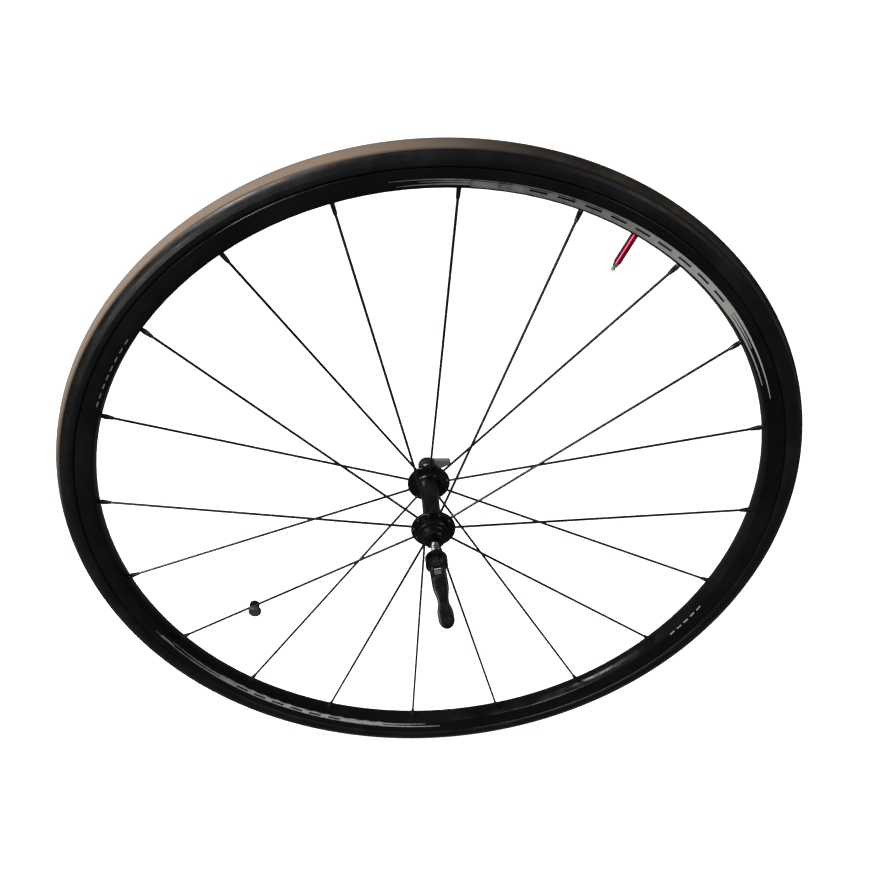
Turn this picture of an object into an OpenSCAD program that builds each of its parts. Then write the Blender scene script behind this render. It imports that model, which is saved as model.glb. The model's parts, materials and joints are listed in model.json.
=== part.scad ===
// Quick-release front wheel of a road bicycle, 700 x 23C with twenty radial spokes.
// The axle lies along Y, with the quick-release lever at -Y and its nut at +Y.
// +Z is up, and the origin is the wheel's centre, midway between the hub flanges.

/* [Tyre] */
// Radius of the tyre over its tread
tyre_r = 334; // [332:0.5:335]
// Radius of the tyre's round section
section_r = 11.8; // [11.4:0.1:12]
// Width of the tread rubber across the crown
tread_w = 15.6; // [12:0.2:17]
// Thickness of the tread rubber
tread_t = 0.9; // [0.7:0.1:1.1]
// Thickness of the casing wall
casing_t = 1.3; // [1:0.1:1.5]

/* [Rim] */
// Bead seat radius, half of the 622 mm standard
seat_r = 311; // [310.9:0.1:311.1]
// Radius of the spoke bed at the rim's middle
bed_r = 299.8; // [299.4:0.1:300.2]
// Width of the rim over its brake tracks
rim_w = 19.4; // [19:0.1:20]
// Height of the rim flange above the bead seat
flange_h = 6; // [5.8:0.1:6.2]

/* [Spokes] */
// Spokes on each hub flange
spokes_per_side = 10; // [10:1:10]
// Angle of the first far-side spoke, from +X towards +Z
first_spoke = 87.3; // [80:0.1:95]
// Diameter of a spoke
spoke_d = 2.3; // [1.8:0.1:2.3]
// Length of a nipple that shows inside the rim
nipple_l = 11.5; // [10:0.5:13]

/* [Hub] */
// Distance between the outer faces of the end caps
cap_span = 100; // [100:1:100]
// Distance from the wheel's middle to a flange's middle
flange_y = 33.3; // [33:0.1:34]
// Radius of a hub flange
flange_r = 20; // [19.5:0.1:21]
// Radius of the circle of spoke holes
hole_circle_r = 17; // [16.8:0.1:17.2]
// Radius of the barrel at its waist
waist_r = 8.1; // [7.2:0.1:8.2]

/* [Bearings and axle] */
// Radius of the bearing bore
bearing_bore_r = 5; // [5:0.1:5]
// Outer radius of a bearing
bearing_r = 11; // [11:0.1:11]
// Width of a bearing
bearing_w = 6; // [6:0.1:6]
// Balls in each bearing
ball_count = 9; // [8:1:10]
// Radius of the axle ends, which sit in the fork
axle_end_r = 4.5; // [4.4:0.1:4.5]
// Length of each axle end beyond its cap
axle_end_l = 5; // [4:0.5:5.5]

/* [Skewer] */
// Radius of the skewer rod
rod_r = 2.5; // [2.4:0.1:2.6]
// Y of the cam housing's inner face
housing_y = -71.5; // [-72:0.5:-70]
// Radius of the cam housing
housing_r = 9.8; // [9.6:0.1:10]
// Length of the cam housing along the axle
housing_l = 11.5; // [11:0.1:12]
// Throw of the cam to each side of its middle
cam_throw = 0.6; // [0.5:0.05:0.6]

/* [Lever] */
// Angle of the lever from its closed position
lever_angle = 40; // [30:1:60]
// Lean of the lever in the wheel's plane, from straight down towards +X
lever_lean = 11.3; // [0:0.1:20]
// Length of the lever from its pivot to its tip
lever_l = 58; // [54:0.5:60]
// Width of the lever's fork at the pivot
lever_w = 14.4; // [14:0.1:14.6]

/* [Nut] */
// Y of the skewer nut's inner face
nut_y = 56; // [55.9:0.1:57]
// Radius of the skewer nut
nut_r = 8.5; // [8:0.1:9]
// Reach of the nut's finger tab from the axle line
tab_reach = 23; // [18:0.5:24]

/* [Valve] */
// Angle of the valve, from +X towards +Z
valve_angle = 60.2; // [58:0.1:62]
// Lean of the stem in its hole, from straight towards the hub
valve_lean = 5; // [0:0.5:5]
// Radius of the valve stem
stem_r = 3; // [2.9:0.05:3]
// Radius from the wheel's centre to the stem's open end
stem_end_r = 275; // [270:0.5:280]

/* [Spoke magnet] */
// Radius from the wheel's centre to the magnet's middle
magnet_r = 207; // [190:1:230]
// Radius of the magnet clip's round body
magnet_body_r = 6.3; // [6:0.1:7]

/* [Hidden] */
$fn = 96;
crown_r = tyre_r - section_r;           // centre of the tyre's round section
tube_r = 8.2;                           // the tube's own section, between the tyre's beads
tube_t = 0.8;
casing_r = section_r - tread_t;
liner_r = casing_r - casing_t;
hook_r = seat_r + flange_h;             // the rim's outer edge
track_y = rim_w / 2;
well_r = seat_r - 3.6;                  // floor of the rim's centre well
bead_core_r = 0.8;
bead_core_at = [312.7, 6.5];
spoke_r = spoke_d / 2;
spoke_pitch = 360 / spokes_per_side;
magnet_spoke = first_spoke - 234;       // the near-side spoke that carries the magnet
magnet_gap = spoke_r + 0.25;            // from the spoke's line to the clip's faces
magnet_side = 3.9;                      // the clip's middle lies to one side of the spoke
disc_side = 2.2;
disc_t = 4.5;
screw_at = [-1.4, 3];                   // along the spoke and to its side
screw_r = 1.2;
flange_t = 3;
flange_in = flange_y - flange_t / 2;
flange_out = flange_y + flange_t / 2;
elbow_r = 2;                            // centre-line radius of a spoke's elbow
spoke_y = flange_in - spoke_r - 0.1;    // a spoke clears its flange's inner face
spoke_start = hole_circle_r + elbow_r;
spoke_tip_r = bed_r + 3.2;
spoke_tilt = atan(spoke_y / (spoke_tip_r - spoke_start));
elbow_turn = 90 - spoke_tilt;
elbow_y = spoke_y + elbow_r * cos(spoke_tilt);
spoke_reach = (spoke_tip_r - spoke_start) / cos(spoke_tilt);
bearing_y = 37.5;                       // middle of each bearing
bearing_in = bearing_y - bearing_w / 2;
bearing_out = bearing_y + bearing_w / 2;
ball_r = 1.75;
ball_circle_r = 8;
inner_land_r = 6.7;
outer_land_r = 9.3;
cap_y = cap_span / 2;
axle_end_y = cap_y + axle_end_l;
axle_bore_r = rod_r + 0.25;
cap_seat_r = 4.7;                       // where an end cap sits on the axle
cap_seat_y = cap_y + 0.3;
pivot_y = housing_y - 7;                // the cam pin's axis
pivot_r = 5.2;
eye_r = 4.8;
pin_r = 3.3;
cam_r = 2.6;
eye_w = 5.6;
fork_gap = 6.2;
fork_depth = 6.65;
lever_waist = 5;                        // half widths of the lever at its waist and paddle
lever_paddle = 7.1;
lever_tip = 8.6;                        // length of the paddle's round end
closed_to_open = 180;                   // the lever's whole swing
rod_eye_y = pivot_y - cam_throw * (1 - 2 * lever_angle / closed_to_open);
rod_end_y = nut_y + 7.4;
washer_t = 0.8;
nut_l = 8;
stem_base_r = crown_r - tube_r - 0.4;
stem_inner_r = 2.7;                     // where the stem passes through the rim
stem_out_l = bed_r - 0.6 - stem_end_r;  // the stem's length that shows
valve_pivot_r = bed_r + 4.2;            // the stem leans about its middle in the rim
core_shoulder = 1.4;
core_neck = 3.9;                        // from the stem's end to the end of the core's neck
nut_gap = 1.15;                         // room for the pin's travel
valve_nut_l = 2.2;

// ---------- placing ----------

// Turns a shape built along +Z so that it lies along +Y.
module along_y() {
    rotate([-90, 0, 0]) children();
}

// Turns a shape built along +X to an angle around the axle.
module at_angle(angle) {
    rotate([0, -angle, 0]) children();
}

// Revolves a profile drawn as [radius, y] around the axle.
module turned() {
    along_y() rotate_extrude() children();
}

// Repeats a shape for every spoke angle of one side: 1 is the far flange (+Y), -1 the near one.
module each_spoke(side) {
    start = side > 0 ? first_spoke : first_spoke - spoke_pitch / 2;
    for (i = [0 : spokes_per_side - 1])
        at_angle(start - i * spoke_pitch)
            mirror([0, side > 0 ? 0 : 1, 0]) children();
}

// A closed outline from its half at y >= 0 and the mirror image of that half.
function both_sides(half) = concat(
    half,
    [for (i = [len(half) - 1 : -1 : 0]) if (half[i][1] > 0) [half[i][0], -half[i][1]]]
);

// A tube along Y from one y to another.
module ring(y0, y1, outer, inner) {
    translate([0, y0, 0]) along_y()
        difference() {
            cylinder(h = y1 - y0, r = outer);
            translate([0, 0, -1]) cylinder(h = y1 - y0 + 2, r = inner);
        }
}

// A tube along X from one x to another.
module pipe_x(x0, x1, outer, inner) {
    translate([x0, 0, 0]) rotate([0, 90, 0])
        difference() {
            cylinder(h = x1 - x0, r = outer);
            translate([0, 0, -1]) cylinder(h = x1 - x0 + 2, r = inner);
        }
}

// The same shape on the near side or the far side of the wheel.
module on_side(side) {
    mirror([0, side > 0 ? 0 : 1, 0]) children();
}

// ---------- tyre, tube and rim ----------

// The tyre's wall below its widest part, down to the bead, at y >= 0.
bead_wall = [
    [320.2, 10.4], [318.4, 9.9], [317.4, 8.9], [317.2, 7.6], [314.6, 7.3], [313.4, 7.7],
    [311.7, 7.6], [311.1, 6.9], [311.1, 5.2], [312.2, 4.9], [314.8, 6.1], [316.6, 6.3],
    [318.4, 8.2], [320.2, 9.7]
];

module tyre_casing() {
    color([0.03, 0.03, 0.035])
    difference() {
        turned()
        union() {
            difference() {
                translate([crown_r, 0]) circle(r = casing_r);
                translate([crown_r, 0]) circle(r = liner_r);
                translate([crown_r - 2 * casing_r, -casing_r]) square([2 * casing_r - 4, 2 * casing_r]);
            }
            polygon(bead_wall);
            polygon([for (i = [len(bead_wall) - 1 : -1 : 0]) [bead_wall[i][0], -bead_wall[i][1]]]);
        }
        bead_cores();
    }
}

module tyre_tread() {
    color([0.27, 0.23, 0.2])
    turned()
    intersection() {
        difference() {
            translate([crown_r, 0]) circle(r = section_r);
            translate([crown_r, 0]) circle(r = casing_r);
        }
        translate([crown_r, -tread_w / 2]) square([2 * section_r, tread_w]);
    }
}

module bead_cores() {
    color([0.75, 0.65, 0.3])
    turned()
    for (side = [-1, 1])
        translate([bead_core_at[0], side * bead_core_at[1]]) circle(r = bead_core_r);
}

module inner_tube() {
    color([0.05, 0.05, 0.05])
    turned()
    translate([crown_r, 0])
    difference() {
        circle(r = tube_r);
        circle(r = tube_r - tube_t);
    }
}

// Half of the tape's section, which lines the well and runs a little way up its walls.
tape_half = [
    [well_r, 0], [well_r, 3.55], [310.2, 5.25], [310.4, 4.8], [well_r + 0.5, 3.25], [well_r + 0.5, 0]
];

module rim_tape() {
    color([0.1, 0.2, 0.5])
    difference() {
        turned() polygon(both_sides(tape_half));
        valve_hole();
    }
}

// Half of the rim's outline, without the round of the spoke bed.
rim_half = [
    [bed_r - 2, 0], [301.7, 8.3], [302.6, 8.9], [304, 9.3], [307.4, 9.5], [308, track_y],
    [hook_r - 0.7, track_y], [hook_r, track_y - 0.5], [hook_r, track_y - 1.3],
    [hook_r - 0.6, track_y - 1.7], [hook_r - 1.6, track_y - 1.7], [hook_r - 2.4, track_y - 1.4],
    [seat_r + 0.4, track_y - 1.4], [seat_r, track_y - 2], [seat_r - 0.6, 5.4], [well_r, 3.6],
    [well_r, 0]
];

// Half of the closed chamber between the spoke bed and the well, without its round bottom.
chamber_half = [
    [bed_r - 2, 0], [302.6, 7.5], [304.6, 8], [308.6, 8.1], [309.2, 7.4], [309.2, 6.2],
    [well_r - 1.2, 4.2], [well_r - 1.2, 0]
];

// The rim's section: its bed and the chamber's bottom are round, about one centre.
module rim_section() {
    bed_round = 19.1;
    wall = 1.4;
    difference() {
        intersection() {
            polygon(both_sides(rim_half));
            translate([bed_r + bed_round, 0]) circle(r = bed_round);
        }
        intersection() {
            polygon(both_sides(chamber_half));
            translate([bed_r + bed_round, 0]) circle(r = bed_round - wall);
        }
    }
}

// The valve's own place: x along its stem, which leans about its middle in the rim.
module valve_place() {
    at_angle(valve_angle)
    translate([valve_pivot_r, 0, 0]) rotate([0, -valve_lean, 0]) translate([-valve_pivot_r, 0, 0])
        children();
}

module valve_hole() {
    at_angle(valve_angle) translate([bed_r - 5, 0, 0]) rotate([0, 90, 0])
        cylinder(h = 16, r = stem_r + 0.2);
}

// A line along a spoke, as x, starting at the end of its elbow.
module along_spoke() {
    translate([spoke_start, spoke_y, 0]) rotate([0, 0, -spoke_tilt]) children();
}

module rim() {
    color([0.04, 0.04, 0.045])
    difference() {
        turned() rim_section();
        valve_hole();
        for (side = [-1, 1])
            each_spoke(side) {
                along_spoke() translate([spoke_reach - 10, 0, 0]) rotate([0, 90, 0])
                    cylinder(h = 12, r = 2.2);
                translate([well_r - 3, 0, 0]) rotate([0, 90, 0])
                    cylinder(h = 5, r = 3.4);
            }
    }
}

// ---------- spokes and nipples ----------

// One spoke in the XY plane: head, elbow through the flange, and the straight length.
module spoke() {
    translate([hole_circle_r, flange_out + 0.05, 0]) along_y() cylinder(h = 1.1, r1 = 1.9, r2 = 1.3);
    translate([hole_circle_r, elbow_y, 0]) along_y()
        cylinder(h = flange_out + 0.3 - elbow_y, r = spoke_r);
    translate([spoke_start, elbow_y, 0]) rotate([0, 0, 180])
        rotate_extrude(angle = elbow_turn) translate([elbow_r, 0]) circle(r = spoke_r);
    translate([spoke_start, elbow_y, 0]) rotate([0, 0, -90 - spoke_tilt]) translate([elbow_r, 0, 0])
        rotate([-90, 0, 0]) cylinder(h = spoke_reach, r = spoke_r);
}

// One nipple: a head inside the rim, a round shank and a square drive that tapers to the spoke.
module nipple() {
    seat = (bed_r + 1.55 - spoke_start) / cos(spoke_tilt);
    flats = 3.3;
    along_spoke()
    difference() {
        union() {
            translate([seat, 0, 0]) rotate([0, 90, 0]) cylinder(h = 0.9, r1 = 2, r2 = 2.9);
            translate([seat + 0.9, 0, 0]) rotate([0, 90, 0]) cylinder(h = 1.3, r = 2.9);
            translate([seat - 3.2, 0, 0]) rotate([0, 90, 0]) cylinder(h = 3.3, r = 2);
            intersection() {
                translate([seat - nipple_l, -flats / 2, -flats / 2]) cube([nipple_l - 3, flats, flats]);
                translate([seat - nipple_l, 0, 0]) rotate([0, 90, 0])
                    cylinder(h = nipple_l, r1 = 1.5, r2 = 3);
            }
        }
        translate([seat - nipple_l - 1, 0, 0]) rotate([0, 90, 0]) cylinder(h = 20, r = spoke_r + 0.04);
    }
}

module spokes_left() {
    color([0.05, 0.05, 0.055]) each_spoke(-1) spoke();
}

module spokes_right() {
    color([0.05, 0.05, 0.055]) each_spoke(1) spoke();
}

module nipples_left() {
    color([0.08, 0.08, 0.085]) each_spoke(-1) nipple();
}

module nipples_right() {
    color([0.08, 0.08, 0.085]) each_spoke(1) nipple();
}

// ---------- hub ----------

// Half of the hub's section: a slim waist that swells into the flange, and the bearing cup outside it.
hub_half = concat(
    [for (y = [2 : 2.4 : 26]) [waist_r + (11.5 - waist_r) * pow(y / flange_in, 3), y]],
    [for (a = [0 : 15 : 75]) [12.9 - 2.6 * cos(a), flange_in - 2.6 + 2.6 * sin(a)]],
    [for (a = [0 : 15 : 90]) [flange_r - 0.7 + 0.7 * sin(a), flange_in + 0.7 - 0.7 * cos(a)]],
    [for (a = [0 : 15 : 90]) [flange_r - 0.7 + 0.7 * cos(a), flange_out - 0.7 + 0.7 * sin(a)]],
    [[14, flange_out], [14, bearing_out - 0.2], [13.4, bearing_out + 0.3], [bearing_r, bearing_out + 0.3]],
    [[bearing_r, bearing_in], [9.4, bearing_in], [9.4, 31], [bearing_bore_r + 1, 31]]
);

module hub_shell() {
    color([0.04, 0.04, 0.045])
    difference() {
        turned() polygon(both_sides(hub_half));
        for (side = [-1, 1])
            each_spoke(side) {
                translate([hole_circle_r, flange_in - 0.5, 0]) along_y()
                    cylinder(h = flange_t + 1, r = spoke_r + 0.3);
                translate([hole_circle_r, flange_in - 0.01, 0]) along_y()
                    cylinder(h = 0.8, r1 = 2.1, r2 = spoke_r + 0.3);
            }
    }
}

// ---------- bearings ----------

module bearing_outer(side) {
    color([0.7, 0.72, 0.74])
    on_side(side)
    turned()
    difference() {
        translate([outer_land_r, bearing_in]) square([bearing_r - outer_land_r, bearing_w]);
        translate([ball_circle_r, bearing_y]) circle(r = ball_r + 0.06);
    }
}

module bearing_inner(side) {
    color([0.7, 0.72, 0.74])
    on_side(side)
    turned()
    difference() {
        translate([bearing_bore_r, bearing_in]) square([inner_land_r - bearing_bore_r, bearing_w]);
        translate([ball_circle_r, bearing_y]) circle(r = ball_r + 0.06);
    }
}

module bearing_balls(side) {
    color([0.85, 0.86, 0.88])
    on_side(side)
    for (i = [0 : ball_count - 1])
        at_angle(i * 360 / ball_count) translate([ball_circle_r, bearing_y, 0]) sphere(r = ball_r);
}

module ball_cage(side) {
    color([0.75, 0.6, 0.3])
    on_side(side)
    difference() {
        ring(bearing_y - 2.2, bearing_y + 2.2, ball_circle_r + 0.5, ball_circle_r - 0.5);
        for (i = [0 : ball_count - 1])
            at_angle(i * 360 / ball_count) translate([ball_circle_r - 2, bearing_y, 0])
                rotate([0, 90, 0]) cylinder(h = 4, r = ball_r + 0.1);
    }
}

module bearing_seals(side) {
    color([0.1, 0.1, 0.1])
    on_side(side)
    for (y = [bearing_y - 2.95, bearing_y + 2.55])
        ring(y, y + 0.4, outer_land_r, inner_land_r + 0.15);
}

module bearing_outer_left() bearing_outer(-1);
module bearing_outer_right() bearing_outer(1);
module bearing_inner_left() bearing_inner(-1);
module bearing_inner_right() bearing_inner(1);
module bearing_balls_left() bearing_balls(-1);
module bearing_balls_right() bearing_balls(1);
module ball_cage_left() ball_cage(-1);
module ball_cage_right() ball_cage(1);
module bearing_seals_left() bearing_seals(-1);
module bearing_seals_right() bearing_seals(1);

// ---------- axle and end caps ----------

// Half of the hollow axle: a shoulder between the bearings, then the seat, then the end in the fork.
axle_half = [
    [bearing_bore_r + 0.6, bearing_in], [bearing_bore_r, bearing_in],
    [bearing_bore_r, bearing_out], [cap_seat_r, bearing_out],
    [cap_seat_r, cap_seat_y], [axle_end_r, cap_seat_y], [axle_end_r, axle_end_y - 0.4],
    [axle_end_r - 0.4, axle_end_y], [axle_bore_r, axle_end_y]
];

module axle() {
    color([0.08, 0.08, 0.085]) turned() polygon(both_sides(axle_half));
}

// An end cap: a collar on the bearing, a dust lip, and the face that the fork clamps.
module end_cap(side) {
    bore = cap_seat_r + 0.02;
    color([0.04, 0.04, 0.045])
    on_side(side)
    turned()
    polygon([
        [bore, bearing_out], [6.4, bearing_out], [6.4, bearing_out + 0.9],
        [10.6, bearing_out + 0.9], [11.2, bearing_out + 1.4], [11.2, bearing_out + 2.6],
        [10.6, bearing_out + 3.1], [9.6, bearing_out + 3.4], [9.6, cap_y - 0.6], [9, cap_y],
        [bore, cap_y]
    ]);
}

module end_cap_left() end_cap(-1);
module end_cap_right() end_cap(1);

// ---------- springs ----------

// Points of a wire ring in the plane that holds the axle, at one turn angle of a conical coil.
function wire_ring(t, r, y, wire, sides) = [
    for (i = [0 : sides - 1])
        let (a = i * 360 / sides, q = r + wire * cos(a))
        [q * cos(t), y + wire * sin(a), q * sin(t)]
];

// A conical coil around Y that widens from r0 at y0 to r1 at y1.
module coil(y0, y1, r0, r1, turns, wire) {
    sides = 8;
    steps = ceil(turns * 20);
    points = [
        for (s = [0 : steps])
            let (u = s / steps)
            each wire_ring(u * turns * 360, r0 + (r1 - r0) * u, y0 + (y1 - y0) * u, wire, sides)
    ];
    walls = [
        for (s = [0 : steps - 1], i = [0 : sides - 1])
            let (a = s * sides + i, b = s * sides + (i + 1) % sides)
            each [[a, b, b + sides], [a, b + sides, a + sides]]
    ];
    first_end = [[for (i = [0 : sides - 1]) sides - 1 - i]];
    last_end = [[for (i = [0 : sides - 1]) steps * sides + i]];
    polyhedron(points = points, faces = concat(walls, first_end, last_end));
}

module lever_spring() {
    color([0.75, 0.76, 0.78])
    coil(-axle_end_y - 0.6, housing_y + 0.6, 3.2, 3.9, 6, 0.4);
}

module nut_spring() {
    color([0.75, 0.76, 0.78])
    coil(axle_end_y + 0.6, nut_y + 2.1, 3.1, 6.1, 3.25, 0.4);
}

// ---------- cam housing, lever and rod ----------

// The lever's own directions: x along its pivot, -z along a closed lever, -y out from the wheel.
module lever_place() {
    translate([0, pivot_y, 0]) rotate([0, -lever_lean, 0]) children();
}

// The housing: a drum with a slot for each of the lever's ears, and a thin arch over the rod's eye.
module cam_housing() {
    outer_y = housing_y - housing_l;
    edge = 1.2;
    slot_w = lever_w + 0.6;
    floor_y = 5;
    eye_room = eye_r + cam_throw + 0.25;
    arch_t = 0.75;
    arch_w = 5.6;
    arch_end = -3.7;
    color([0.05, 0.05, 0.055])
    difference() {
        turned()
        polygon(concat(
            [[rod_r + 0.3, housing_y]],
            [for (a = [0 : 15 : 90]) [housing_r - edge + edge * sin(a), housing_y - edge + edge * cos(a)]],
            [[housing_r, outer_y + 1.1], [housing_r - 0.3, outer_y + 0.35], [housing_r - 1.1, outer_y]],
            [[rod_r + 0.3, outer_y]]
        ));
        lever_place() {
            difference() {
                translate([-slot_w / 2, -20, -20]) cube([slot_w, 20 + floor_y, 40]);
                intersection() {
                    translate([-arch_w / 2, 0, 0]) rotate([0, 90, 0])
                        cylinder(h = arch_w, r = eye_room + arch_t);
                    translate([-arch_w / 2, -20, arch_end]) cube([arch_w, 40, 20]);
                }
            }
            for (side = [-1, 1])
                translate([side > 0 ? arch_w / 2 : -slot_w / 2, 0, 0]) rotate([0, 90, 0])
                    cylinder(h = (slot_w - arch_w) / 2, r = pivot_r + 0.3);
            translate([-arch_w / 2 - 0.1, 0, 0]) rotate([0, 90, 0]) cylinder(h = arch_w + 0.2, r = eye_room);
            translate([-20, 0, 0]) rotate([0, 90, 0]) cylinder(h = 40, r = pin_r + 0.05);
        }
    }
}

module housing_washer() {
    color([0.7, 0.71, 0.73]) ring(housing_y, housing_y + washer_t, 8.2, 6.2);
}

// The lever's outline seen along Y: fork, waist and rounded paddle, as [x, distance from the pivot].
function ease(from, to, share) = (from + to) / 2 + (from - to) / 2 * cos(share * 180);
function lever_side(s) =
    s < 20 ? lever_w / 2 :
    s < 34 ? ease(lever_w / 2, lever_waist, (s - 20) / 14) :
    s < 44 ? ease(lever_waist, lever_paddle, (s - 34) / 10) : lever_paddle;

module lever_outline() {
    end = lever_l - lever_tip;
    right = [for (s = [0 : 2 : end - 1]) [lever_side(s), s]];
    tip = [for (a = [0 : 15 : 180]) [lever_paddle * cos(a), end + lever_tip * sin(a)]];
    left = [for (i = [len(right) - 1 : -1 : 0]) [-right[i][0], right[i][1]]];
    polygon(concat(right, tip, left));
}

// The lever's section seen along its pivot: a deep root that thins and bows out, then curls back.
function lever_mid(s) = 2.2 * sin(s / lever_l * 180);
function lever_half(s) = 4.1 - 1.9 * min(1, s / 34);

module lever_section() {
    stations = [for (i = [0 : 19]) i / 19 * lever_l];
    outer = [for (s = stations) [s, lever_mid(s) + lever_half(s)]];
    inner = [for (i = [len(stations) - 1 : -1 : 0])
        [stations[i], lever_mid(stations[i]) - lever_half(stations[i])]];
    polygon(concat(outer, inner));
}

// The lever as if closed: the fork on its pivot, and the arm along -z.
module closed_lever() {
    difference() {
        union() {
            translate([-lever_w / 2, 0, 0]) rotate([0, 90, 0]) cylinder(h = lever_w, r = pivot_r);
            intersection() {
                rotate([90, 0, 0]) translate([0, 0, -20]) linear_extrude(40)
                    mirror([0, 1]) lever_outline();
                translate([-20, 0, 0]) multmatrix([[0, 0, 1, 0], [0, -1, 0, 0], [-1, 0, 0, 0], [0, 0, 0, 1]])
                    linear_extrude(40) lever_section();
            }
        }
        translate([-20, 0, 0]) rotate([0, 90, 0]) cylinder(h = 40, r = pin_r);
        translate([-fork_gap / 2, 0, 0]) rotate([0, 90, 0]) cylinder(h = fork_gap, r = fork_depth);
    }
}

module lever() {
    color([0.04, 0.04, 0.045])
    lever_place() rotate([-lever_angle, 0, 0]) closed_lever();
}

// The pin that the lever turns: round ends in the housing's cheeks, and the cam between the fork's ears.
module cam_pin() {
    pin_l = 18;
    color([0.7, 0.71, 0.73])
    lever_place() rotate([-lever_angle, 0, 0]) {
        for (side = [-1, 1])
            translate([side > 0 ? fork_gap / 2 : -pin_l / 2, 0, 0]) rotate([0, 90, 0])
                cylinder(h = (pin_l - fork_gap) / 2, r = pin_r);
        translate([-fork_gap / 2, -cam_throw, 0]) rotate([0, 90, 0]) cylinder(h = fork_gap, r = cam_r);
    }
}

// The rod, with the eye that rides on the cam. The eye's bore is long enough for the cam's side play.
module skewer_rod() {
    bore_r = cam_r + 0.2;
    color([0.78, 0.79, 0.8]) {
        difference() {
            union() {
                translate([0, rod_eye_y, 0]) along_y() cylinder(h = rod_end_y - rod_eye_y, r = rod_r);
                translate([0, rod_eye_y, 0]) rotate([0, -lever_lean, 0]) translate([-eye_w / 2, 0, 0])
                    rotate([0, 90, 0]) cylinder(h = eye_w, r = eye_r);
            }
            translate([0, rod_eye_y, 0]) rotate([0, -lever_lean, 0]) {
                for (z = [-cam_throw, cam_throw])
                    translate([-10, 0, z]) rotate([0, 90, 0]) cylinder(h = 20, r = bore_r);
                translate([-10, -bore_r, -cam_throw]) cube([20, 2 * bore_r, 2 * cam_throw]);
            }
        }
    }
}

// ---------- skewer nut ----------

module nut_washer() {
    color([0.7, 0.71, 0.73]) ring(nut_y, nut_y + washer_t, nut_r, 7);
}

module nut_insert() {
    color([0.9, 0.9, 0.85]) ring(nut_y + 5.9, nut_y + 7.4, 3.9, rod_r + 0.06);
}

// The nut: a round body with a spring recess, and one finger tab that tapers out along +X.
module skewer_nut() {
    face = nut_y + washer_t;
    back = face + nut_l;
    color([0.12, 0.12, 0.125])
    difference() {
        union() {
            turned()
            polygon([
                [rod_r, face], [nut_r, face], [nut_r, back - 2.4], [nut_r - 0.5, back - 1.1],
                [nut_r - 1.6, back - 0.3], [nut_r - 3, back], [rod_r, back]
            ]);
            translate([0, face + 1.2, 0]) along_y() linear_extrude(4.6)
                rotate(-13)
                polygon(concat(
                    [[0, -7.4], [nut_r, -5.6]],
                    [for (a = [-75 : 15 : 75]) [tab_reach - 2.6 + 2.6 * cos(a), 2.6 * sin(a)]],
                    [[nut_r, 5.6], [0, 7.4]]
                ));
        }
        translate([0, face - 1, 0]) along_y() cylinder(h = 2.7, r = 7);
        translate([0, face - 1, 0]) along_y() cylinder(h = nut_l + 3, r = rod_r + 0.05);
        translate([0, nut_y + 5.9, 0]) along_y() cylinder(h = 1.5, r = 3.9);
    }
}

// ---------- valve ----------

// The stem: full width outside the rim, and slimmer where it passes through.
module valve_stem() {
    color([0.6, 0.02, 0.06])
    valve_place()
    difference() {
        union() {
            translate([stem_end_r, 0, 0]) rotate([0, 90, 0])
                cylinder(h = stem_out_l, r = stem_r);
            translate([stem_end_r, 0, 0]) rotate([0, 90, 0])
                cylinder(h = stem_base_r - stem_end_r, r = stem_inner_r);
        }
        translate([stem_end_r - 1, 0, 0]) rotate([0, 90, 0]) cylinder(h = 60, r = 1.1);
        translate([stem_end_r - 1, 0, 0]) rotate([0, 90, 0]) cylinder(h = 13, r = 2.1);
    }
}

// The rubber patch that bonds the stem to the tube.
module valve_patch() {
    color([0.05, 0.05, 0.05])
    valve_place()
    difference() {
        intersection() {
            translate([stem_base_r - 1.4, 0, 0]) rotate([0, 90, 0]) cylinder(h = 6, r = 4.4);
            translate([stem_base_r - 1.4, -10, -10]) cube([1.4, 20, 20]);
        }
        translate([stem_base_r - 3, 0, 0]) rotate([0, 90, 0]) cylinder(h = 8, r = stem_inner_r + 0.02);
    }
}

// The core: a threaded barrel in the stem with a shoulder, and the slim neck that carries the nut.
module valve_core() {
    color([0.75, 0.75, 0.74])
    valve_place()
    difference() {
        union() {
            translate([stem_end_r, 0, 0]) rotate([0, 90, 0]) cylinder(h = 11, r = 2.1);
            translate([stem_end_r - core_shoulder, 0, 0]) rotate([0, 90, 0])
                cylinder(h = core_shoulder, r1 = 2.5, r2 = 2.8);
            translate([stem_end_r - core_neck, 0, 0]) rotate([0, 90, 0])
                cylinder(h = core_neck - core_shoulder, r1 = 1.9, r2 = 2.5);
        }
        translate([stem_end_r - 6, 0, 0]) rotate([0, 90, 0]) cylinder(h = 20, r = 0.85);
    }
}

module valve_pin() {
    tip = core_neck + nut_gap + valve_nut_l + 0.5;
    color([0.75, 0.7, 0.5])
    valve_place() {
        translate([stem_end_r - tip, 0, 0]) rotate([0, 90, 0]) cylinder(h = tip + 11, r = 0.6);
        translate([stem_end_r + 11, 0, 0]) rotate([0, 90, 0]) cylinder(h = 1, r = 0.95);
    }
}

module valve_nut() {
    near = stem_end_r - core_neck - nut_gap;
    far = near - valve_nut_l;
    color([0.75, 0.75, 0.74])
    valve_place()
    difference() {
        union() {
            pipe_x(far, far + 0.6, 1.3, 0.65);
            pipe_x(far + 0.6, near, 1.8, 0.65);
        }
        for (i = [0 : 9])
            rotate([i * 36, 0, 0]) translate([far - 1, 1.85, 0]) rotate([0, 90, 0])
                cylinder(h = 6, r = 0.25);
    }
}

// ---------- spoke magnet ----------

// Middle of the magnet on its spoke, with y across the wheel.
module magnet_place() {
    at_angle(magnet_spoke) mirror([0, 1, 0]) along_spoke()
        translate([(magnet_r - spoke_start) / cos(spoke_tilt), 0, 0]) children();
}

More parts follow.
